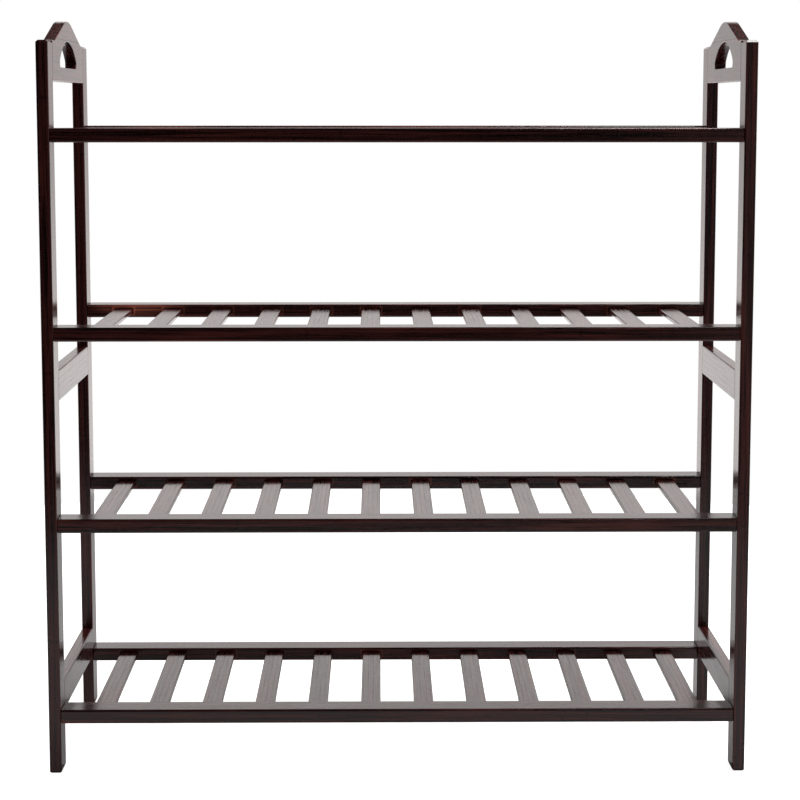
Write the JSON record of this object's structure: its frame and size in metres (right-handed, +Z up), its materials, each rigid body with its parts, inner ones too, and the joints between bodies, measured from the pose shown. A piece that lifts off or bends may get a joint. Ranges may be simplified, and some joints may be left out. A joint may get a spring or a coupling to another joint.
{
  "type": "tiered shoe rack",
  "caption": "Free-standing slatted shoe rack: arched end frames with hand holes carry level open shelves of slats between rails.",
  "frame": {"origin": "on the floor, at the centre of the rack's footprint", "axes": "+Z up, +X to the right along the shelves, +Y towards the rear of the rack"},
  "size_m": [0.7, 0.256, 0.7535],
  "materials": {
    "frame_bamboo": "dark walnut stain under glossy lacquer",
    "shelf_rail_bamboo": "dark walnut stain under glossy lacquer",
    "slat_bamboo": "dark walnut stain under glossy lacquer",
    "dowel_wood": "unfinished beech",
    "screw_steel": "zinc plated"
  },
  "bodies": {
    "root": {"left_front_post": "frame_bamboo", "left_rear_post": "frame_bamboo", "right_front_post": "frame_bamboo", "right_rear_post": "frame_bamboo", "left_lower_side_rail": "frame_bamboo", "right_lower_side_rail": "frame_bamboo", "left_middle_side_rail": "frame_bamboo", "right_middle_side_rail": "frame_bamboo", "left_top_crosspiece": "frame_bamboo", "right_top_crosspiece": "frame_bamboo", "left_shelf_screws": "screw_steel", "right_shelf_screws": "screw_steel", "left_frame_dowels": "dowel_wood", "right_frame_dowels": "dowel_wood", "shelf_1_front_rail": "shelf_rail_bamboo", "shelf_1_rear_rail": "shelf_rail_bamboo", "shelf_1_slats": "slat_bamboo", "shelf_2_front_rail": "shelf_rail_bamboo", "shelf_2_rear_rail": "shelf_rail_bamboo", "shelf_2_slats": "slat_bamboo", "shelf_3_front_rail": "shelf_rail_bamboo", "shelf_3_rear_rail": "shelf_rail_bamboo", "shelf_3_slats": "slat_bamboo", "shelf_4_front_rail": "shelf_rail_bamboo", "shelf_4_rear_rail": "shelf_rail_bamboo", "shelf_4_slats": "slat_bamboo"}
  },
  "joints": []
}
